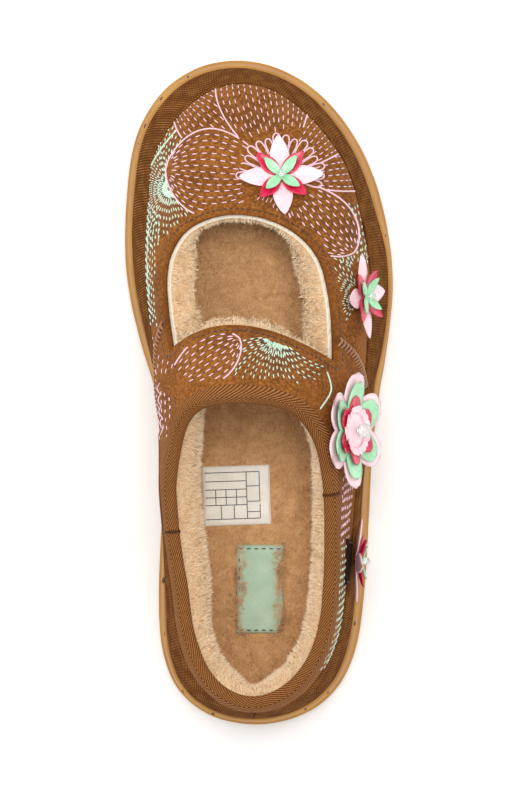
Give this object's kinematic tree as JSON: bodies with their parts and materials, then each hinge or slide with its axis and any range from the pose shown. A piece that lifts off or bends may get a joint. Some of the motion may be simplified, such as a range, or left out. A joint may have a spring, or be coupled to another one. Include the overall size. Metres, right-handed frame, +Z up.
{
  "type": "mary jane clog",
  "caption": "Right mary jane clog on a tape-wrapped platform sole, with an open throat, a strap, a bound collar, a fleece insole and sewn-on petal flowers.",
  "frame": {"origin": "on the floor, under the middle of the sole's length and width", "axes": "+Z up, +Y from heel to toe, +X to the outer side of the foot"},
  "size_m": [0.1065, 0.263, 0.1063],
  "materials": {
    "foam": "satin moulded foam",
    "core": "matte foam",
    "tape": "ribbed webbing",
    "collar_tape": "herringbone tape",
    "fleece": "short pile fleece",
    "suede": "napped suede",
    "patch": "twill",
    "label": "woven satin",
    "badge": "matte leather",
    "pink": "pearl coated leather",
    "crimson": "gloss coated leather",
    "mint": "pearl coated leather",
    "bead": "clear faceted"
  },
  "bodies": {
    "root": {"outsole": "foam", "midsole": "core", "platform_tape": "tape", "insole": "fleece", "upper": "suede", "collar_tape": "collar_tape", "insole_patch": "patch", "size_label": "label", "badge": "badge", "toe_flower_outer_petals": "pink", "toe_flower_middle_petals": "crimson", "toe_flower_inner_petals": "mint", "toe_flower_bead": "bead", "side_flower_outer_petals": "pink", "side_flower_middle_petals": "crimson", "side_flower_inner_petals": "mint", "side_flower_bead": "bead", "strap_flower_outer_petals": "pink", "strap_flower_middle_petals": "mint", "strap_flower_inner_petals": "crimson", "strap_flower_fringe": "pink", "strap_flower_bead": "bead", "heel_flower_outer_petals": "pink", "heel_flower_middle_petals": "crimson", "heel_flower_inner_petals": "mint", "heel_flower_bead": "bead"}
  },
  "joints": []
}
